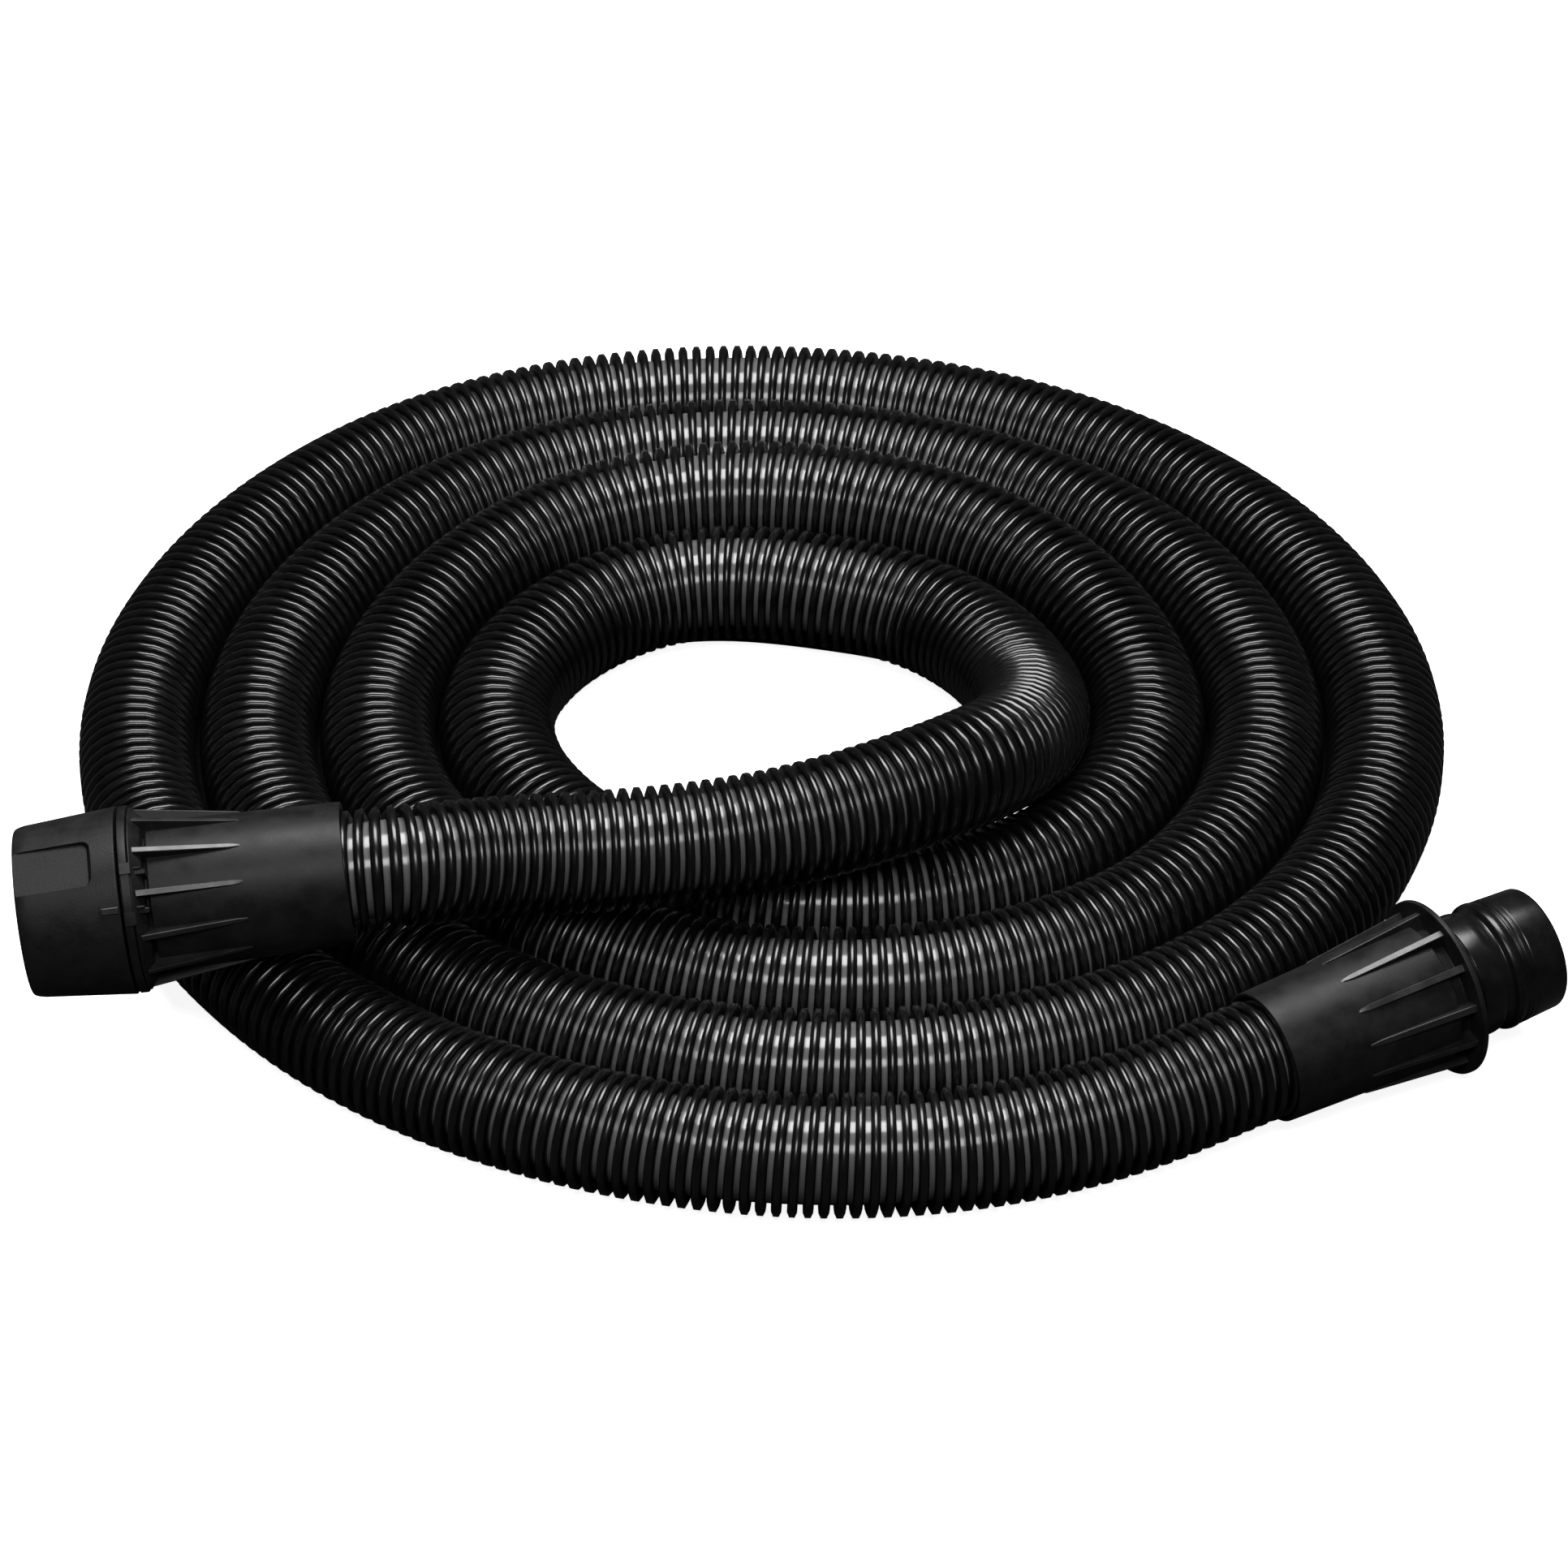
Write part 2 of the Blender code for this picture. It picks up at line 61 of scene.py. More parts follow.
# The hose's route, from the coil's centre
HOSE_OD = 0.041
HOSE_INSERTION = 0.036
COIL_CENTRE = Vector((0.01127, 0.03129, 0.0))
EIGHTHS = 8
LAST_EIGHTH = 29
FIRST_TURN_RADII = (0.2430, 0.2440, 0.2400, 0.2105, 0.1805, 0.1800, 0.1960, 0.2045)
TURN_STEPS = (0.0420, 0.0418, 0.0422, 0.0434, 0.0423, 0.0416, 0.0417, 0.0420)
BACK_LIFTS = (0.0, 0.005, 0.016, 0.007)
SPLINE_STEP = 0.003
TOOL_STRETCH = ((0.1060, -0.2215, 0.0243), (0.0560, -0.2375, 0.0211))
CROSSING = (
    (0.0709, -0.0119, 0.0300),
    (0.0680, -0.0527, 0.0435),
    (0.0505, -0.0861, 0.0575),
    (0.0200, -0.1105, 0.0626),
    (-0.0150, -0.1260, 0.0626),
    (-0.0600, -0.1370, 0.0630),
    (-0.1080, -0.1470, 0.0670),
)
TOOL_CUFF_LENGTH = 0.068
VAC_CUFF_LENGTH = 0.0725

# The hose's section
RIB_PITCH = 0.0049
WALL_R = 0.0160
RIB_SIDES = 23
WALL_SIDES = 48
WALL_STEP = 0.008
WALL_INSERTION, RIB_INSERTION = 0.020, 0.008  # how far each is drawn inside a cuff
# (along the hose, above the wall) of a rib's section, in millimetres
RIB_SECTION = ((-1.30, -0.30), (-1.60, 2.80), (-0.85, 4.45), (0.85, 4.45), (1.60, 2.80), (1.30, -0.30))

# The ends; lengths in millimetres, turns in degrees
LATHE_SIDES = 144
FIN_COUNT = 12
FIN_SPACING = 360 / FIN_COUNT
TOOL_FIN_TURN, VAC_FIN_TURN = 8, 12.5
LATCH_SLOT = 1
FIN_TOP_SLOT, FIN_TOP_SIDES = 1, (1, 2, 3)  # a fin's top and broken edges, in its section: glossier where rubbed, and a lighter grey that is a painted highlight
GRIP_TURNS = (66.5, 246.5)
INDEX_TURN = 33.6
LATCH_TURNS = (23.5, 61.6)  # where the latch begins and ends on the swivel ring
LATCH_BLOCKS = (8.2, 6.8)  # how far its raised end blocks reach
HOOK_TURNS = (30.8, 56.8)
HOOK_STEP = 2.6  # from each hook to the thin rib beside it
# how far the index mark's painted groove shade reaches either side of it, in degrees
INDEX_GROOVE_SHADE_REACH = 3.5

FLOOR_HALF_WIDTH = 6.0
# the painted floor shade: its steps round the coil, and its lift off the floor
SHADE_STEPS, SHADE_LIFT = 240, 0.0002


# Materials


def new_group(name, inputs, outputs):
    """A shader node group with named sockets, and its input and output nodes."""
    group = bpy.data.node_groups.new(name, "ShaderNodeTree")
    for title, kind, value in inputs:
        socket = group.interface.new_socket(title, in_out="INPUT", socket_type=kind)
        if value is not None:
            socket.default_value = value
    for title, kind in outputs:
        group.interface.new_socket(title, in_out="OUTPUT", socket_type=kind)
    return group, group.nodes.new("NodeGroupInput"), group.nodes.new("NodeGroupOutput")


def noise_node(tree, scale, detail=3.0, roughness=0.5):
    node = tree.nodes.new("ShaderNodeTexNoise")
    node.inputs["Scale"].default_value = scale
    node.inputs["Detail"].default_value = detail
    node.inputs["Roughness"].default_value = roughness
    return node


def range_node(tree, source, low, high, to_low, to_high):
    node = tree.nodes.new("ShaderNodeMapRange")
    tree.links.new(source, node.inputs["Value"])
    for title, value in zip(("From Min", "From Max", "To Min", "To Max"), (low, high, to_low, to_high)):
        node.inputs[title].default_value = value
    return node.outputs["Result"]


def math_node(tree, operation, first, second):
    node = tree.nodes.new("ShaderNodeMath")
    node.operation = operation
    for socket, value in zip(node.inputs, (first, second)):
        if isinstance(value, (int, float)):
            socket.default_value = value
        else:
            tree.links.new(value, socket)
    return node.outputs["Value"]


def moulded_grain():
    """Fine spark-eroded grain and slow sink marks, as a height; and a blotchy mask for the gloss."""
    group, given, result = new_group(
        "moulded_grain",
        (("Grain Scale", "NodeSocketFloat", 1800.0), ("Grain", "NodeSocketFloat", 0.6)),
        (("Height", "NodeSocketFloat"), ("Blotch", "NodeSocketFloat")),
    )
    place = group.nodes.new("ShaderNodeTexCoord").outputs["Object"]
    fine = noise_node(group, 1800.0, 2.0)
    slow = noise_node(group, 110.0, 4.0, 0.6)
    for node in (fine, slow):
        group.links.new(place, node.inputs["Vector"])
    group.links.new(given.outputs["Grain Scale"], fine.inputs["Scale"])
    grain = math_node(group, "MULTIPLY", fine.outputs["Fac"], given.outputs["Grain"])
    group.links.new(math_node(group, "ADD", grain, slow.outputs["Fac"]), result.inputs["Height"])
    group.links.new(slow.outputs["Fac"], result.inputs["Blotch"])
    return group


def shelf_dust():
    """Pale dust that settles in patches on what faces up."""
    group, given, result = new_group(
        "shelf_dust", (("Amount", "NodeSocketFloat", 0.3),), (("Mask", "NodeSocketFloat"),)
    )
    split = group.nodes.new("ShaderNodeSeparateXYZ")
    group.links.new(group.nodes.new("ShaderNodeNewGeometry").outputs["Normal"], split.inputs["Vector"])
    up = range_node(group, split.outputs["Z"], 0.35, 1.0, 0.0, 1.0)
    patch = noise_node(group, 160.0, 5.0, 0.65)
    group.links.new(group.nodes.new("ShaderNodeTexCoord").outputs["Object"], patch.inputs["Vector"])
    spots = range_node(group, patch.outputs["Fac"], 0.45, 0.75, 0.0, 1.0)
    both = math_node(group, "MULTIPLY", up, spots)
    group.links.new(math_node(group, "MULTIPLY", both, given.outputs["Amount"]), result.inputs["Mask"])
    return group


def black_plastic(name, greys, roughness, specular, grain, grain_scale, bump, dust):
    """Black moulded plastic: grain and sink marks in the bump, a blotchy gloss and a trace of dust."""
    material = bpy.data.materials.new(name)
    material.use_nodes = True
    tree = material.node_tree
    shader = tree.nodes["Principled BSDF"]
    shader.inputs["Specular IOR Level"].default_value = specular
    surface = tree.nodes.new("ShaderNodeGroup")
    surface.node_tree = GROUPS["moulded_grain"]
    surface.inputs["Grain Scale"].default_value = grain_scale
    surface.inputs["Grain"].default_value = grain
    dusting = tree.nodes.new("ShaderNodeGroup")
    dusting.node_tree = GROUPS["shelf_dust"]
    dusting.inputs["Amount"].default_value = dust
    blend = tree.nodes.new("ShaderNodeMix")
    blend.data_type = "RGBA"
    for title, grey in zip("AB", greys):
        blend.inputs[title].default_value = (grey, grey, grey, 1)
    shade = range_node(tree, surface.outputs["Blotch"], 0.35, 0.65, 0.0, 1.0)
    tree.links.new(math_node(tree, "MAXIMUM", shade, dusting.outputs["Mask"]), blend.inputs["Factor"])
    tree.links.new(blend.outputs["Result"], shader.inputs["Base Color"])
    gloss = range_node(tree, surface.outputs["Blotch"], 0.3, 0.7, roughness * 0.85, roughness * 1.2)
    tree.links.new(math_node(tree, "ADD", gloss, dusting.outputs["Mask"]), shader.inputs["Roughness"])
    relief = tree.nodes.new("ShaderNodeBump")
    relief.inputs["Strength"].default_value = bump
    relief.inputs["Distance"].default_value = 0.00012
    tree.links.new(surface.outputs["Height"], relief.inputs["Height"])
    tree.links.new(relief.outputs["Normal"], shader.inputs["Normal"])
    return material


def spring_steel():
    """Drawn steel wire, with a fine lay across its gloss."""
    material = bpy.data.materials.new("spring_steel")
    material.use_nodes = True
    tree = material.node_tree
    shader = tree.nodes["Principled BSDF"]
    shader.inputs["Base Color"].default_value = (0.45, 0.45, 0.46, 1)
    shader.inputs["Metallic"].default_value = 1.0
    lay = noise_node(tree, 900.0, 4.0)
    tree.links.new(tree.nodes.new("ShaderNodeTexCoord").outputs["Object"], lay.inputs["Vector"])
    tree.links.new(range_node(tree, lay.outputs["Fac"], 0.3, 0.7, 0.25, 0.42), shader.inputs["Roughness"])
    return material


# Shapes


def soft_outline(corners, steps=4):
    """An outline of (radius, height, fillet) corners in millimetres, each fillet a short curve."""
    points = []
    count = len(corners)
    for i, (r, z, fillet) in enumerate(corners):
        here = Vector((r, z))
        if not fillet:
            points.append(here * MM)
            continue
        before = Vector(corners[i - 1][:2]) - here
        after = Vector(corners[(i + 1) % count][:2]) - here
        first = here + before.normalized() * min(fillet, before.length * 0.49)
        last = here + after.normalized() * min(fillet, after.length * 0.49)
        for step in range(steps + 1):
            t = step / steps
            points.append(((1 - t) ** 2 * first + 2 * t * (1 - t) * here + t * t * last) * MM)
    return points


def lathe(form, corners, sides=LATHE_SIDES, steps=4):
    """Turns a closed outline about the end's axis, into an open form."""
    outline = soft_outline(corners, steps)
    rings = []
    for step in range(sides):
        angle = 2 * math.pi * step / sides
        rings.append([form.verts.new((p.x * math.cos(angle), p.x * math.sin(angle), p.y)) for p in outline])
    for step in range(sides):
        here, there = rings[step], rings[(step + 1) % sides]
        for i in range(len(outline)):
            j = (i + 1) % len(outline)
            form.faces.new((here[i], there[i], there[j], here[j]))


def fin_section(turn, height, root, top, width, chamfer):
    """One cross-section of a fin, as six places about its middle plane."""
    half = width / 2
    places = (
        (-half, root),
        (-half, top - chamfer),
        (-half + chamfer, top),
        (half - chamfer, top),
        (half, top - chamfer),
        (half, root),
    )
    out, side = Vector((math.cos(turn), math.sin(turn), 0)), Vector((-math.sin(turn), math.cos(turn), 0))
    return [(out * r + side * y + Vector((0, 0, height))) * MM for y, r in places]


def fin(form, turn, foot, length, root, outer, tip, width):
    """A grip fin: tall and square at the flange, running out to a blunt point on the sleeve."""
    stations = (
        (foot, outer, width),
        (foot - length * 0.5, outer + (tip - outer) * 0.5, width * 0.94),
        (foot - length * 0.88, outer + (tip - outer) * 0.88, width * 0.8),
        (foot - length * 0.96, tip + (outer - tip) * 0.04, width * 0.52),
        (foot - length, tip - 0.5, width * 0.3),
    )
    loops = []
    for height, top, across in stations:
        section = fin_section(turn, height, root, top, across, 0.22)
        loops.append([form.verts.new(place) for place in section])
    for first, second in zip(loops, loops[1:]):
        for i in range(len(first)):
            j = (i + 1) % len(first)
            side = form.faces.new((first[i], second[i], second[j], first[j]))
            # the top and broken edges take the fin-top plastic: glossier where rubbed, and a lighter grey
            # that is a painted highlight
            side.material_index = FIN_TOP_SLOT if i in FIN_TOP_SIDES else 0
    form.faces.new(reversed(loops[-1]))
    form.faces.new(loops[0])


def bar(form, turn, low, high, inner, outer, width, chamfer=0.15):
    """A raised bar along the end's axis, with its outer edges broken."""
    loops = []
    for height, cut in ((low, chamfer), (low + chamfer, 0), (high - chamfer, 0), (high, chamfer)):
        section = fin_section(turn, height, inner, outer - cut, width - 2 * cut, chamfer)
        loops.append([form.verts.new(place) for place in section])
    for first, second in zip(loops, loops[1:]):
        for i in range(len(first)):
            j = (i + 1) % len(first)
            form.faces.new((first[j], second[j], second[i], first[i]))
    form.faces.new(loops[-1])
    form.faces.new(reversed(loops[0]))


def finished(form, name, material, turn=None, sharp=38):
    """The piece of a form, smooth but for its edges, set on its end's axis."""
    bmesh.ops.recalc_face_normals(form, faces=form.faces)
    mesh = bpy.data.meshes.new(name)
    form.to_mesh(mesh)
    form.free()
    if turn is not None:
        mesh.transform(turn)
    mesh.shade_smooth()
    mesh.set_sharp_from_angle(angle=math.radians(sharp))
    mesh.materials.append(material)
    piece = bpy.data.objects.new(name, mesh)
    bpy.context.collection.objects.link(piece)
    return piece


def latch_plate(form, start, stop, low, high, inner, outer, sides=16, face_slot=0):
    """A curved plate that stands a little proud of a ring, from one angle to another."""
    edge = 0.25
    places = (
        (inner, low),
        (outer - edge, low),
        (outer, low + edge),
        (outer, high - edge),
        (outer - edge, high),
        (inner, high),
    )
    loops = []
    for step in range(sides + 1):
        angle = math.radians(start + (stop - start) * step / sides)
        out = Vector((math.cos(angle), math.sin(angle), 0))
        loops.append([form.verts.new((out * r + Vector((0, 0, z))) * MM) for r, z in places])
    for first, second in zip(loops, loops[1:]):
        for i in range(len(first)):
            j = (i + 1) % len(first)
            side = form.faces.new((first[i], second[i], second[j], first[j]))
            side.material_index = face_slot
    form.faces.new(loops[0])
    form.faces.new(reversed(loops[-1]))


def grip_cutter(turn):
    """What a thumb's flat takes off the collar: open at the mouth, with sloping sides and round corners."""
    form = bmesh.new()
    half_width, inner_end, mouth_end, corner, corner_steps = 7.9, 10.0, 45.0, 2.6, 6
    floor_radius, floor_taper = 28.35, 0.052
    layers = []
    for height, spread, lead in ((0.0, 0.0, 0.0), (12.0, 3.0, 6.6)):
        half, corner_z = half_width + spread, inner_end - lead + corner
        outline = [(half, mouth_end), (-half, mouth_end)]
        for centre, start in ((-half + corner, 180), (half - corner, 270)):
            for step in range(corner_steps + 1):
                angle = math.radians(start + 90 * step / corner_steps)
                outline.append((centre + corner * math.cos(angle), corner_z + corner * math.sin(angle)))
        depth = floor_radius + height
        layers.append([form.verts.new(Vector((depth - floor_taper * z, y, z)) * MM) for y, z in outline])
    form.faces.new(layers[0])
    form.faces.new(reversed(layers[1]))
    count = len(layers[0])
    for i in range(count):
        j = (i + 1) % count
        form.faces.new((layers[0][j], layers[0][i], layers[1][i], layers[1][j]))
    bmesh.ops.recalc_face_normals(form, faces=form.faces)
    mesh = bpy.data.meshes.new("grip_cutter")
    form.to_mesh(mesh)
    form.free()
    mesh.transform(Matrix.Rotation(math.radians(turn), 4, "Z"))
    cutter = bpy.data.objects.new("grip_cutter", mesh)
    bpy.context.collection.objects.link(cutter)
    return cutter


def cut_grip_flat(collar, turn):
    """Cuts one thumb's flat into the collar's side."""
    cutter = grip_cutter(turn)
    cut = collar.modifiers.new("grip_flat", "BOOLEAN")
    cut.operation = "DIFFERENCE"
    cut.solver = "EXACT"
    cut.object = cutter
    cut_mesh = bpy.data.meshes.new_from_object(collar.evaluated_get(bpy.context.evaluated_depsgraph_get()))
    collar.modifiers.clear()
    collar.data = cut_mesh
    bpy.data.objects.remove(cutter, do_unlink=True)


def settle(piece, turn, sharp):
    """Sets a finished piece on its end's axis, and marks its edges again."""
    piece.data.transform(turn)
    piece.data.shade_smooth()
    piece.data.set_sharp_from_angle(angle=math.radians(sharp))


def end_frame(joint_name):
    """Where an end's own axes stand: +Z out of the mouth, +X level, zero at its swivel."""
    joint = next(j for j in frame["joints"] if j["name"] == joint_name)
    mouth = Vector(joint["axis"]).normalized()
    level = Vector((0, 0, 1)).cross(mouth).normalized()
    turn = Matrix((level, mouth.cross(level), mouth)).transposed().to_4x4()
    return Matrix.Translation(Vector(joint["pos_m"])) @ turn


# The hose


def natural_spline(points, step):
    """Points every step along the natural cubic curve through the given points."""
    knots = np.array([tuple(point) for point in points], float)
    runs = np.linalg.norm(np.diff(knots, axis=0), axis=1)
    count = len(knots)
    system = np.eye(count)
    right = np.zeros((count, 3))
    slopes = np.diff(knots, axis=0) / runs[:, None]
    for i in range(1, count - 1):
        system[i, i - 1 : i + 2] = (runs[i - 1], 2 * (runs[i - 1] + runs[i]), runs[i])
        right[i] = 6 * (slopes[i] - slopes[i - 1])
    bends = np.linalg.solve(system, right)
    curve = []
    for i, run in enumerate(runs):
        pieces = max(2, math.ceil(run / step))
        for piece in range(pieces):
            b = piece / pieces
            a = 1 - b
            sag = ((a**3 - a) * bends[i] + (b**3 - b) * bends[i + 1]) * run**2 / 6
            curve.append(a * knots[i] + b * knots[i + 1] + sag)
    curve.append(knots[-1])
    return np.array(curve)


def coil_point(eighth):
    """The hose's middle at an eighth of a turn, counted from the front of the first turn."""
    turn, part = divmod(eighth, EIGHTHS)
    angle = 2 * math.pi * eighth / EIGHTHS
    radius = FIRST_TURN_RADII[part] - turn * TURN_STEPS[part]
    lift = BACK_LIFTS[turn] * max(0.0, -math.cos(angle))
    return Vector((-radius * math.sin(angle), -radius * math.cos(angle), HOSE_OD / 2 + lift))


def hose_route(tool, vac):
    """The hose's centre line, from inside the tool cuff to inside the vacuum cuff."""
    depths = (HOSE_INSERTION, HOSE_INSERTION / 2, 0.0, -HOSE_INSERTION / 3)
    tool_end = [tool @ Vector((0, 0, depth - TOOL_CUFF_LENGTH)) for depth in depths]
    vac_end = [vac @ Vector((0, 0, depth - VAC_CUFF_LENGTH)) for depth in reversed(depths)]
    tool_run = [Vector(point) + COIL_CENTRE for point in TOOL_STRETCH]
    turns = [coil_point(eighth) + COIL_CENTRE for eighth in range(LAST_EIGHTH + 1)]
    crossing = [Vector(point) + COIL_CENTRE for point in CROSSING]
    curve = natural_spline(tool_end + tool_run + turns + crossing + vac_end, SPLINE_STEP)
    curve[:, 2] = np.maximum(curve[:, 2], HOSE_OD / 2)
    return curve


def section_axes(route, lengths, places):
    """The centre, sideways and upward directions of the hose at given lengths along it."""
    def at(where):
        return np.stack([np.interp(where, lengths, route[:, axis]) for axis in range(3)], axis=-1)

    centre = at(places)
    ahead = at(places + SPLINE_STEP) - at(places - SPLINE_STEP)
    ahead /= np.linalg.norm(ahead, axis=-1, keepdims=True)
    side = np.cross(ahead, (0.0, 0.0, 1.0))
    side /= np.linalg.norm(side, axis=-1, keepdims=True)
    return centre, side, np.cross(side, ahead)


def strip_mesh(name, places, closed_rows):
    """A mesh of quads over rows of places; with closed rows, each row joins up with itself."""
    rows, columns = places.shape[:2]
    index = np.arange(rows * columns).reshape(rows, columns)
    if closed_rows:
        index = np.concatenate((index, index[:, :1]), axis=1)
    quads = np.stack((index[:-1, :-1], index[:-1, 1:], index[1:, 1:], index[1:, :-1]), axis=-1).reshape(-1, 4)
    mesh = bpy.data.meshes.new(name)
    mesh.vertices.add(rows * columns)
    mesh.vertices.foreach_set("co", places.reshape(-1))
    mesh.loops.add(quads.size)
    mesh.loops.foreach_set("vertex_index", quads.reshape(-1))
    mesh.polygons.add(len(quads))
    mesh.polygons.foreach_set("loop_start", np.arange(0, quads.size, 4))
    mesh.update(calc_edges=True)
    mesh.validate()
    mesh.shade_smooth()
    return mesh


def build_hose(route, web_material, rib_material):
    """The thin wall, and the one long rib that winds round it from end to end."""
    lengths = np.concatenate(([0.0], np.cumsum(np.linalg.norm(np.diff(route, axis=0), axis=1))))
    total = lengths[-1]

    hidden = HOSE_INSERTION - WALL_INSERTION
    places = np.linspace(hidden, total - hidden, round(total / WALL_STEP) + 1)
    centre, side, up = section_axes(route, lengths, places)
    path = [tuple(point) for point in centre]
    angle = np.linspace(0, 2 * math.pi, WALL_SIDES, endpoint=False)[None, :, None]
    ring = np.cos(angle) * side[:, None] + np.sin(angle) * up[:, None]
    wall_mesh = strip_mesh("hose_wall", centre[:, None] + WALL_R * ring, True)
    wall_mesh.materials.append(web_material)
    wall = bpy.data.objects.new("hose_wall", wall_mesh)
    bpy.context.collection.objects.link(wall)

    hidden = HOSE_INSERTION - RIB_INSERTION
    start, end = hidden, total - hidden
    count = int((end - start) / RIB_PITCH * RIB_SIDES)
    steps = np.arange(count)
    base = start + steps * RIB_PITCH / RIB_SIDES
    turn = steps * 2 * math.pi / RIB_SIDES
    section = np.array(RIB_SECTION) * MM
    at = base[:, None] + section[None, :, 0]
    centre, side, up = section_axes(route, lengths, at)
    out = np.cos(turn)[:, None, None] * side + np.sin(turn)[:, None, None] * up
    rib_mesh = strip_mesh("hose_rib", centre + (WALL_R + section[None, :, 1, None]) * out, False)
    rib_mesh.materials.append(rib_material)
    rib = bpy.data.objects.new("hose_rib", rib_mesh)
    bpy.context.collection.objects.link(rib)
    return wall, rib, path, total


# The ends


def cuff_corners(length, rim, shoulder, shoulder_z, bore, flange):
    """A cuff's turned outline: sleeve over the hose, neck, and the flange's own corners."""
    return (
        (21.2, -length, 0.3),
        (rim, -length, 0.35),
        (shoulder, shoulder_z, 0.5),
        (shoulder - 2.4, shoulder_z + 0.2, 0.3),
        *flange,
        (bore, flange[-1][1], 0.2),
        (bore, -length + 38.0, 0.3),
        (21.2, -length + 37.0, 0.3),
    )


def build_tool_end(end, cuff_material, spigot_material):
    """The finned cuff, and the stepped spigot that turns in it."""
    form = bmesh.new()
    flange = ((21.8, -1.8, 0.5), (30.5, -1.8, 0.35), (30.5, 0.0, 0.35))
    length = TOOL_CUFF_LENGTH / MM
    lathe(form, cuff_corners(length, rim=22.4, shoulder=24.4, shoulder_z=-6.4, bore=18.4, flange=flange))
    for count in range(FIN_COUNT):
        turn = math.radians(TOOL_FIN_TURN + FIN_SPACING * count)
        fin(form, turn, foot=-1.6, length=39.5, root=21.0, outer=27.4, tip=23.55, width=2.6)
    cuff = finished(form, "tool_cuff_shell", cuff_material, end)
    cuff.data.materials.append(FIN_TOP_HIGHLIGHT)
    form = bmesh.new()
    lathe(
        form,
        (
            (15.8, -27.5, 0),
            (18.0, -27.5, 0.4),
            (18.0, 0.4, 0),
            (21.0, 0.4, 0.3),
            (21.0, 2.3, 0.15),
            (20.6, 2.6, 0.1),
            (21.1, 3.0, 0.15),
            (21.1, 4.9, 0.15),
            (20.75, 5.2, 0.1),
            (21.2, 5.6, 0.15),
            (21.2, 12.6, 1.5),
            (20.1, 15.2, 0.9),
            (20.0, 17.2, 0.5),
            (21.9, 18.1, 0.6),
            (22.2, 19.6, 0.5),
            (22.0, 21.0, 0.5),
            (21.4, 21.6, 0.2),
            (21.4, 22.3, 0.15),
            (21.75, 22.6, 0.15),
            (21.75, 23.3, 0.1),
            (21.3, 23.6, 0.1),
            (21.7, 24.1, 0.15),
            (21.7, 25.5, 0.1),
            (21.4, 25.8, 0.1),
            (21.6, 26.2, 0.1),
            (21.1, 37.2, 0.5),
            (20.3, 38.0, 0.4),
            (17.4, 38.0, 0.4),
            (17.4, 4.0, 0.5),
            (15.8, 1.0, 0.4),
        ),
    )
    spigot = finished(form, "tool_spigot_shell", spigot_material, end)
    return cuff, spigot


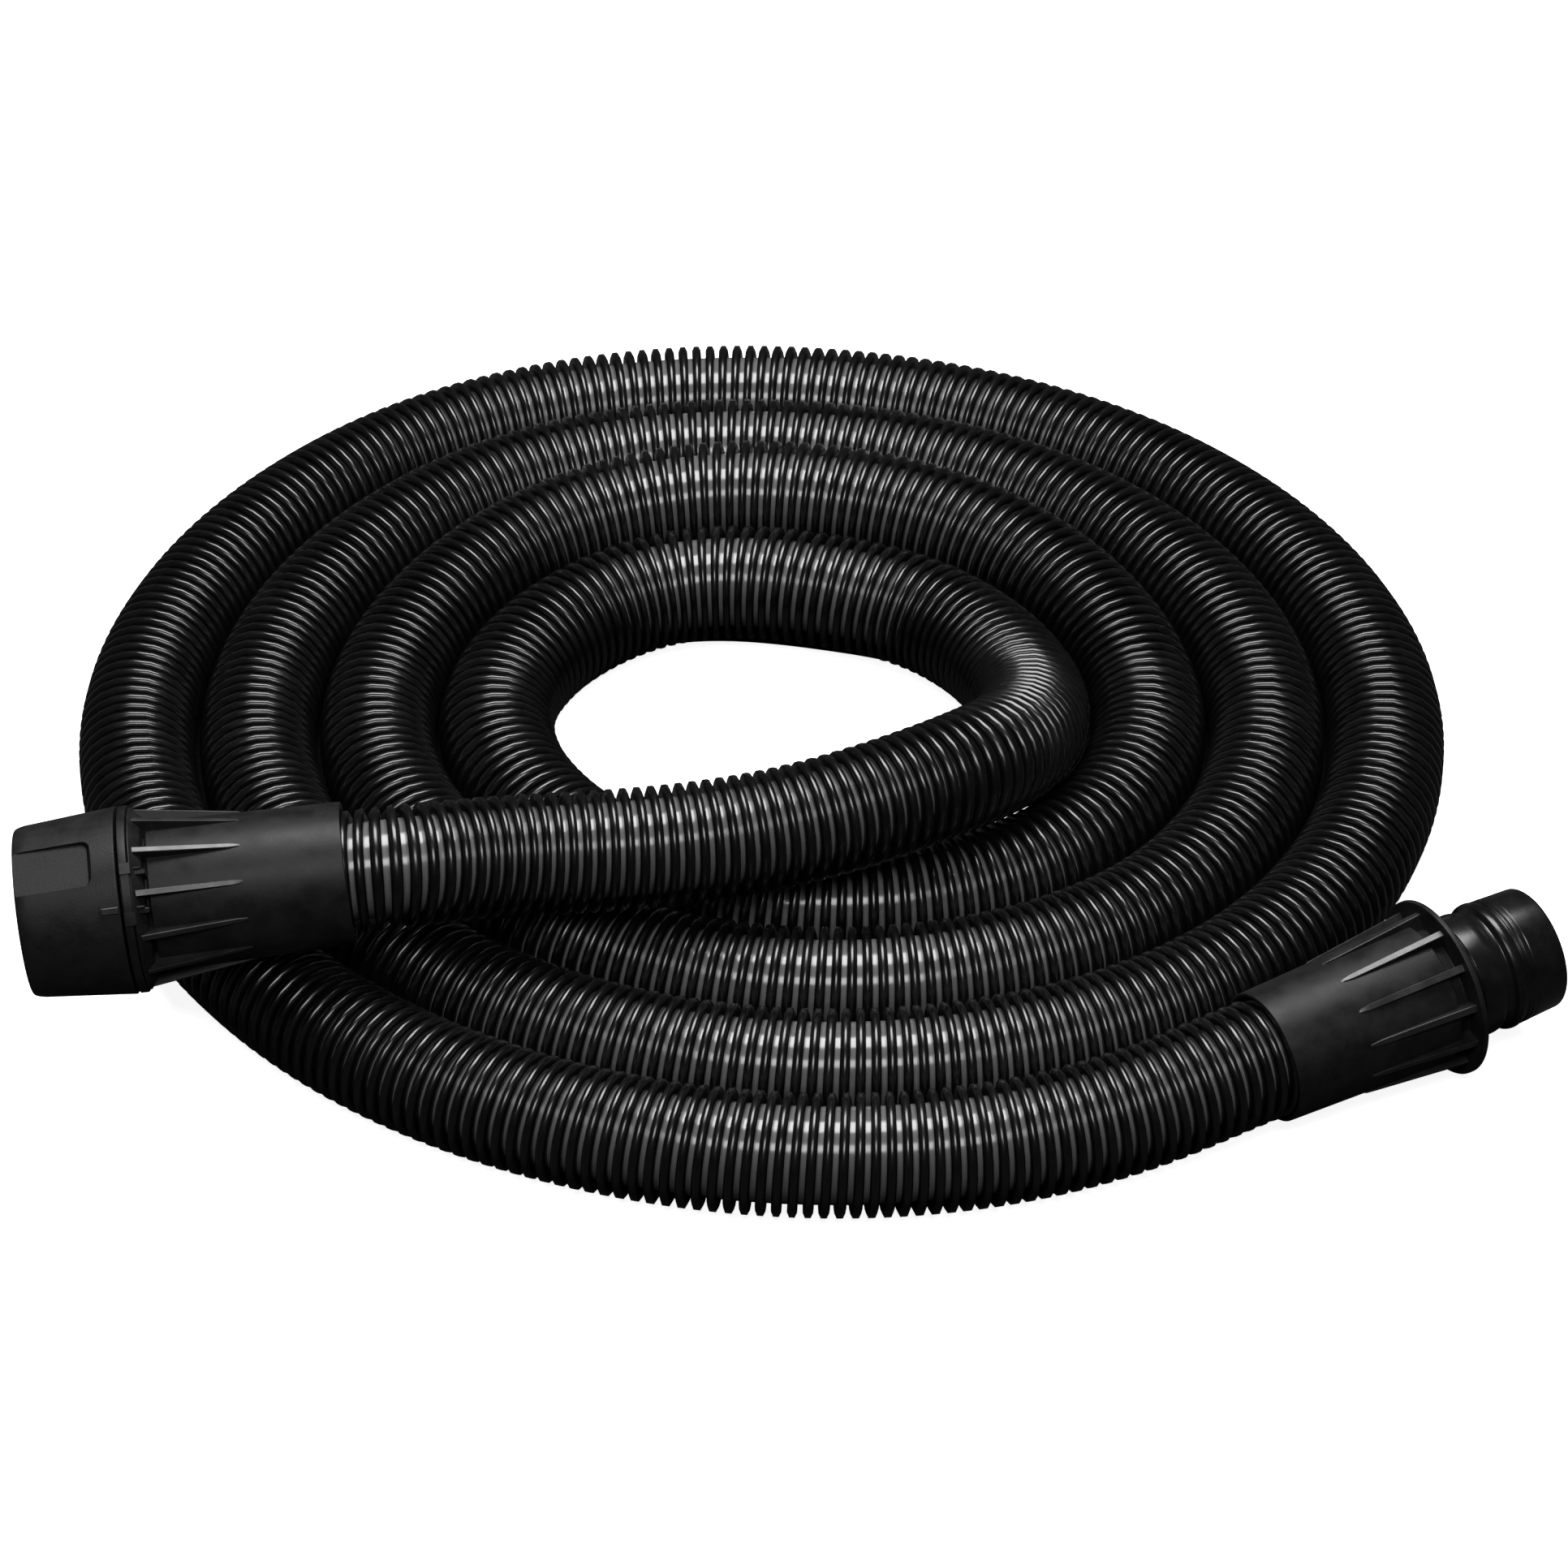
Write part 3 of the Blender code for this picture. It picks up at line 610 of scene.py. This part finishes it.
def build_vac_end(end, cuff_material, collar_material, ring_material):
    """The finned cuff, its swivel ring with the latch, and the collar with its flats and index mark."""
    form = bmesh.new()
    flange = ((22.2, -7.5, 0.4), (26.2, -7.2, 0.5), (30.2, -3.7, 0.3), (30.0, -3.2, 0.2))
    length = VAC_CUFF_LENGTH / MM
    lathe(form, cuff_corners(length, rim=23.6, shoulder=24.8, shoulder_z=-8.7, bore=20.8, flange=flange))
    for count in range(FIN_COUNT):
        turn = math.radians(VAC_FIN_TURN + FIN_SPACING * count)
        fin(form, turn, foot=-4.8, length=35.5, root=21.0, outer=29.3, tip=24.35, width=2.1)
    for turn in HOOK_TURNS:
        hook, thin_rib = math.radians(turn), math.radians(turn + HOOK_STEP)
        bar(form, hook, low=-8.6, high=-3.8, inner=22.0, outer=28.6, width=1.9, chamfer=0.3)
        bar(form, thin_rib, low=-7.2, high=-3.8, inner=22.0, outer=29.2, width=0.9, chamfer=0.2)
    cuff = finished(form, "vac_cuff_shell", cuff_material, end)
    cuff.data.materials.append(FIN_TOP_HIGHLIGHT)

    form = bmesh.new()
    lathe(
        form,
        (
            (19.3, -2.9, 0.2),
            (30.9, -2.9, 0.35),
            (30.9, -0.1, 0.35),
            (19.3, -0.1, 0.2),
        ),
    )
    first, last = LATCH_TURNS
    blocks = (first, first + LATCH_BLOCKS[0]), (last - LATCH_BLOCKS[1], last)
    gap = 0.1
    plate = blocks[0][1] + gap, blocks[1][0] - gap
    latch_plate(form, *plate, low=-3.5, high=-0.4, inner=29.6, outer=31.2)
    for block in blocks:
        # the raised end blocks take the latch plastic, whose lighter grey is a painted highlight
        latch_plate(form, *block, low=-4.1, high=-0.2, inner=29.6, outer=31.6, sides=4, face_slot=LATCH_SLOT)
    ring = finished(form, "swivel_ring_shell", ring_material, end)
    ring.data.materials.append(LATCH_HIGHLIGHT)

    form = bmesh.new()
    lathe(
        form,
        (
            (17.8, -29.0, 0.3),
            (20.4, -29.0, 0.5),
            (20.4, 0.8, 0.3),
            (31.1, 0.8, 0.5),
            (28.35, 32.2, 2.0),
            (27.4, 34.8, 1.2),
            (25.6, 34.8, 0.4),
            (25.0, 15.0, 0.5),
            (25.0, 4.5, 0.6),
            (17.8, 3.0, 0.5),
        ),
        steps=9,
    )
    collar = finished(form, "vac_collar_shell", collar_material)
    for turn in GRIP_TURNS:
        cut_grip_flat(collar, turn)
    mark = bmesh.new()
    bar(mark, math.radians(INDEX_TURN), low=1.1, high=6.9, inner=29.5, outer=31.75, width=2.3, chamfer=0.25)
    # the index mark takes the latch plastic, whose lighter grey is a painted highlight
    index = finished(mark, "index_mark", LATCH_HIGHLIGHT, end)
    # Painted shade: a dark bed under the index mark, standing in for the shade in the groove round it.
    groove_shade = bmesh.new()
    span = INDEX_TURN - INDEX_GROOVE_SHADE_REACH, INDEX_TURN + INDEX_GROOVE_SHADE_REACH
    latch_plate(groove_shade, *span, low=1.3, high=7.6, inner=29.2, outer=31.06, sides=6)
    index_bed = finished(groove_shade, "index_bed", SEAL_RUBBER_AND_SHADE, end)
    index_bed.parent = collar
    settle(collar, end, 17)
    index.parent = collar
    return cuff, ring, collar


# Camera, light and floor


def build_stage():
    """The pale floor: it glows white to the camera, and throws hardly any light back at the hose."""
    form = bmesh.new()
    half = FLOOR_HALF_WIDTH
    places = ((-half, -half), (half, -half), (half, half), (-half, half))
    form.faces.new([form.verts.new((x, y, 0)) for x, y in places])
    material = bpy.data.materials.new("studio_floor")
    material.use_nodes = True
    tree = material.node_tree
    shader = tree.nodes["Principled BSDF"]
    paper = noise_node(tree, 30.0, 3.0)
    tree.links.new(range_node(tree, paper.outputs["Fac"], 0.3, 0.7, 0.68, 0.74), shader.inputs["Roughness"])
    shader.inputs["Specular IOR Level"].default_value = 0.1
    seen = tree.nodes.new("ShaderNodeLightPath").outputs["Is Camera Ray"]
    tone = range_node(tree, seen, 0.0, 1.0, 0.03, 0.92)
    tree.links.new(tone, shader.inputs["Base Color"])
    shader.inputs["Emission Color"].default_value = (1, 1, 1, 1)
    tree.links.new(math_node(tree, "MULTIPLY", seen, 0.9), shader.inputs["Emission Strength"])
    mesh = bpy.data.meshes.new("studio_floor")
    form.to_mesh(mesh)
    form.free()
    mesh.materials.append(material)
    floor = bpy.data.objects.new("studio_floor", mesh)
    bpy.context.collection.objects.link(floor)


def build_painted_floor_shade(route, material):
    """Painted shade: a dark sheet laid on the floor between the turns, from under the outer turn to under the
    innermost.
    """
    flat = route[:, :2] - np.array(COIL_CENTRE.xy)
    turned = np.unwrap(np.arctan2(-flat[:, 0], -flat[:, 1]))
    reach = np.linalg.norm(flat, axis=1)
    around = turned[0] + np.linspace(0, 2 * math.pi, SHADE_STEPS + 1)
    outer_turn, inner_turn = 0, 3
    edges = []
    for turn in (outer_turn, inner_turn):
        radius = np.interp(around + 2 * math.pi * turn, turned, reach)
        across = COIL_CENTRE.x - radius * np.sin(around)
        along = COIL_CENTRE.y - radius * np.cos(around)
        edges.append(np.stack((across, along, np.full(len(around), SHADE_LIFT)), axis=-1))
    mesh = strip_mesh("floor_shade", np.stack(edges), False)
    mesh.materials.append(material)
    shade = bpy.data.objects.new("floor_shade", mesh)
    bpy.context.collection.objects.link(shade)


def softbox(name, place, size, power):
    """A soft rectangular light that faces the middle of the coil."""
    light = bpy.data.lights.new(name, "AREA")
    light.shape = "RECTANGLE"
    light.size, light.size_y = size
    light.energy = power
    lamp = bpy.data.objects.new(name, light)
    bpy.context.collection.objects.link(lamp)
    lamp.location = place
    lamp.rotation_euler = (-Vector(place)).to_track_quat("-Z", "Y").to_euler()


def build_light():
    """A faint white room, a large light above and behind, and a smaller one in front."""
    world = bpy.data.worlds.new("studio")
    bpy.context.scene.world = world
    world.use_nodes = True
    background = world.node_tree.nodes["Background"]
    background.inputs["Color"].default_value = (1, 1, 1, 1)
    background.inputs["Strength"].default_value = 0.035
    softbox("top_softbox", place=(0.0, 0.46, 1.67), size=(1.2, 0.90), power=43)
    softbox("front_softbox", place=(0.0, -1.16, 1.52), size=(1.1, 0.50), power=15)


def build_camera():
    """A long lens that looks down at the coil from the front."""
    data = bpy.data.cameras.new("camera")
    data.lens = 146.35
    data.sensor_width = 36
    camera = bpy.data.objects.new("camera", data)
    bpy.context.collection.objects.link(camera)
    target = Vector((-0.0030, 0.0074, 0.0))
    distance, elevation = 2.2474, math.radians(38.5)
    back = Vector((0, -math.cos(elevation), math.sin(elevation)))
    camera.location = target + distance * back
    camera.rotation_euler = (-back).to_track_quat("-Z", "Y").to_euler()
    bpy.context.scene.camera = camera


for startup in [thing for thing in bpy.data.objects if thing.name in ("Cube", "Light", "Camera")]:
    bpy.data.objects.remove(startup, do_unlink=True)

build_camera()
build_light()
build_stage()

GROUPS = {"moulded_grain": moulded_grain(), "shelf_dust": shelf_dust()}
RIB = black_plastic(
    "rib_plastic", greys=(0.002, 0.004), roughness=0.23, specular=0.6,
    grain=0.1, grain_scale=900, bump=0.03, dust=0.0,
)
WEB = black_plastic(
    "web_film", greys=(0.125, 0.145), roughness=0.17, specular=0.6,
    grain=0.1, grain_scale=600, bump=0.03, dust=0.0,
)
CUFF = black_plastic(
    "cuff_plastic", greys=(0.007, 0.014), roughness=0.44, specular=0.2,
    grain=0.8, grain_scale=1800, bump=0.35, dust=0.02,
)
# The fins' tops and broken edges: glossier where rubbed, with a lighter grey than the cuff that is a painted
# highlight where they catch the light.
FIN_TOP_HIGHLIGHT = black_plastic(
    "fin_top_highlight_plastic", greys=(0.010, 0.018), roughness=0.36, specular=0.6,
    grain=0.6, grain_scale=1800, bump=0.2, dust=0.03,
)
SPIGOT = black_plastic(
    "spigot_plastic", greys=(0.003, 0.007), roughness=0.24, specular=0.45,
    grain=0.4, grain_scale=1500, bump=0.05, dust=0.01,
)
# The latch's raised end blocks and the index mark: a glossier copy of the cuff plastic, whose lighter grey is
# a painted highlight on the raised faces.
LATCH_HIGHLIGHT = black_plastic(
    "latch_highlight_plastic", greys=(0.010, 0.016), roughness=0.40, specular=0.4,
    grain=0.6, grain_scale=1800, bump=0.2, dust=0.02,
)
COLLAR = black_plastic(
    "collar_plastic", greys=(0.008, 0.014), roughness=0.50, specular=0.25,
    grain=0.9, grain_scale=1900, bump=0.5, dust=0.02,
)
# The seals' rubber; also the dark bed under the index mark, which is painted shade of the groove round it.
SEAL_RUBBER_AND_SHADE = black_plastic(
    "seal_rubber_and_groove_shade", greys=(0.006, 0.012), roughness=0.65, specular=0.3,
    grain=0.5, grain_scale=1200, bump=0.3, dust=0.02,
)
# Painted shade: the near-black sheet laid on the floor between the coil's turns.
PAINTED_SHADE = black_plastic(
    "painted_shade_black", greys=(0.010, 0.014), roughness=0.8, specular=0.05,
    grain=0.1, grain_scale=400, bump=0.0, dust=0.0,
)
STEEL = spring_steel()

TOOL, VAC = end_frame("tool_swivel"), end_frame("vacuum_swivel")
ROUTE = hose_route(TOOL, VAC)
wall, rib, path, total = build_hose(ROUTE, WEB, RIB)
build_painted_floor_shade(ROUTE, PAINTED_SHADE)
tool_cuff, spigot = build_tool_end(TOOL, CUFF, SPIGOT)
vac_cuff, ring, collar = build_vac_end(VAC, CUFF, COLLAR, CUFF)

for piece, body, nodes, slot in (
    (wall, "hose", ("hose_coil", "hose_lead"), "hose"),
    (rib, "hose", (), "hose"),
    (tool_cuff, "hose", ("tool_cuff",), "cuff"),
    (vac_cuff, "hose", ("vac_cuff",), "cuff"),
    (ring, "hose", ("vac_swivel_ring",), "swivel_ring"),
    (spigot, "tool_end", ("tool_spigot",), "spigot"),
    (collar, "vacuum_end", ("vac_collar",), "collar"),
):
    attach(piece, body)
    if nodes:
        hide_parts(*nodes)

bpy.context.scene.view_settings.view_transform = "Standard"

for node, material in (
    ("tool_insert", CUFF),
    ("vac_insert", CUFF),
    ("tool_o_ring", SEAL_RUBBER_AND_SHADE),
    ("vac_o_ring", SEAL_RUBBER_AND_SHADE),
    ("vac_lip_seal", SEAL_RUBBER_AND_SHADE),
    ("tool_retaining_clip", STEEL),
):
    thing = frame["nodes"][node]
    thing.data.materials.clear()
    thing.data.materials.append(material)
